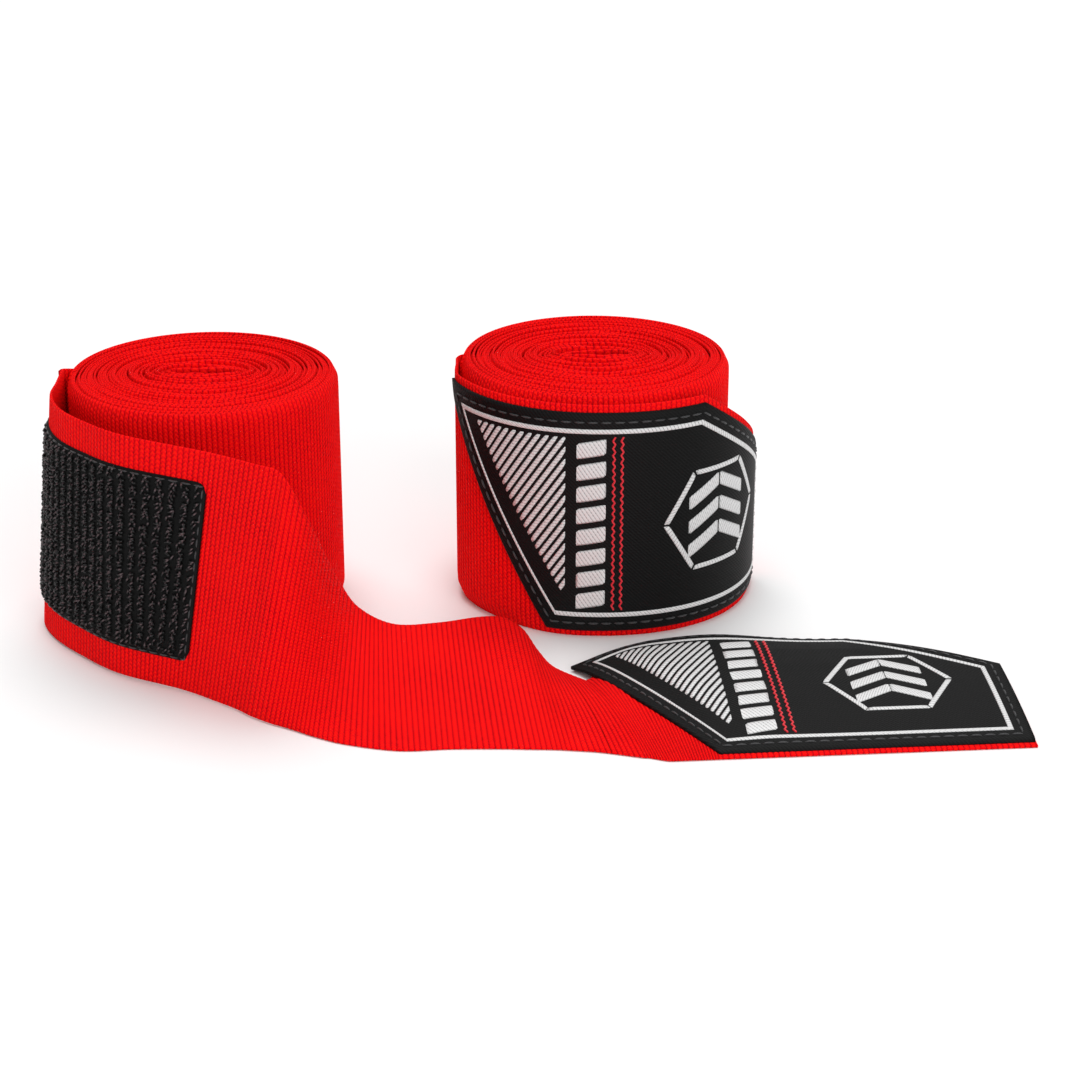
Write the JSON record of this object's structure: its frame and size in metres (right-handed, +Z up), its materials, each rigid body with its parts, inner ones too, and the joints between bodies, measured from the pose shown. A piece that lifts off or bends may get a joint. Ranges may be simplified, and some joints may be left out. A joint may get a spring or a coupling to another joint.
{
  "type": "hand wrap",
  "caption": "Elastic hand wraps for boxing: a closed roll with its label flap, and a partly unrolled roll with hook patch and label end.",
  "frame": {"origin": "centre of the unrolled coil's core, on the table", "axes": "+X from the unrolled coil towards the closed roll, +Z up out of the table, the label end lies on the -Y side"},
  "size_m": [0.1973, 0.1123, 0.0511],
  "materials": {
    "strap_red": "ribbed elastic knit, matt",
    "loop_tape": "narrow woven tape, matt",
    "hook_tape": "woven nylon tape",
    "hook_nylon": "small bent nylon hooks with a slight glint",
    "label_black": "tight woven twill label",
    "thread_white": "raised satin thread",
    "thread_red": "zigzag stitched thread",
    "thread_black": "lockstitched thread"
  },
  "bodies": {
    "open_wrap": {"open_coil": "strap_red", "open_thumb_loop": "loop_tape"},
    "open_tail": {"open_tail_strap": "strap_red", "open_hook_backing": "hook_tape", "open_hooks": "hook_nylon", "open_hook_stitching": "thread_black"},
    "open_label_end": {"open_end_strap": "strap_red", "open_label": "label_black", "open_label_stitching": "thread_black", "open_label_border": "thread_white", "open_label_stripes": "thread_white", "open_label_badge": "thread_white", "open_red_stitching": "thread_red"},
    "closed_wrap": {"closed_coil": "strap_red", "closed_thumb_loop": "loop_tape", "closed_hook_backing": "hook_tape", "closed_hooks": "hook_nylon"},
    "closed_flap": {"closed_flap_strap": "strap_red", "closed_label": "label_black", "closed_label_stitching": "thread_black", "closed_label_border": "thread_white", "closed_label_stripes": "thread_white", "closed_label_badge": "thread_white", "closed_red_stitching": "thread_red"}
  },
  "joints": [
    {"name": "tail_swing", "type": "hinge", "parent": "open_wrap", "child": "open_tail", "pos_m": [-0.02908, -0.0003, 0.0254], "axis": [0, 0, -1], "range_deg": [0, 60]},
    {"name": "label_lift", "type": "hinge", "parent": "open_tail", "child": "open_label_end", "pos_m": [0.08813, -0.07274, 0], "axis": [0.3135, -0.9496, 0], "range_deg": [0, 70]},
    {"name": "roll_pick_up", "type": "slide", "parent": "open_wrap", "child": "closed_wrap", "axis": [0, 0, 1], "range_m": [0, 0.12]},
    {"name": "flap_peel", "type": "hinge", "parent": "closed_wrap", "child": "closed_flap", "pos_m": [0.05143, 0.0105, 0.0254], "axis": [0, 0, -1], "range_deg": [0, 70]}
  ],
  "couplings": [
    {"joint": "flap_peel", "follows": "roll_pick_up", "rad_per_m": 10.181}
  ]
}
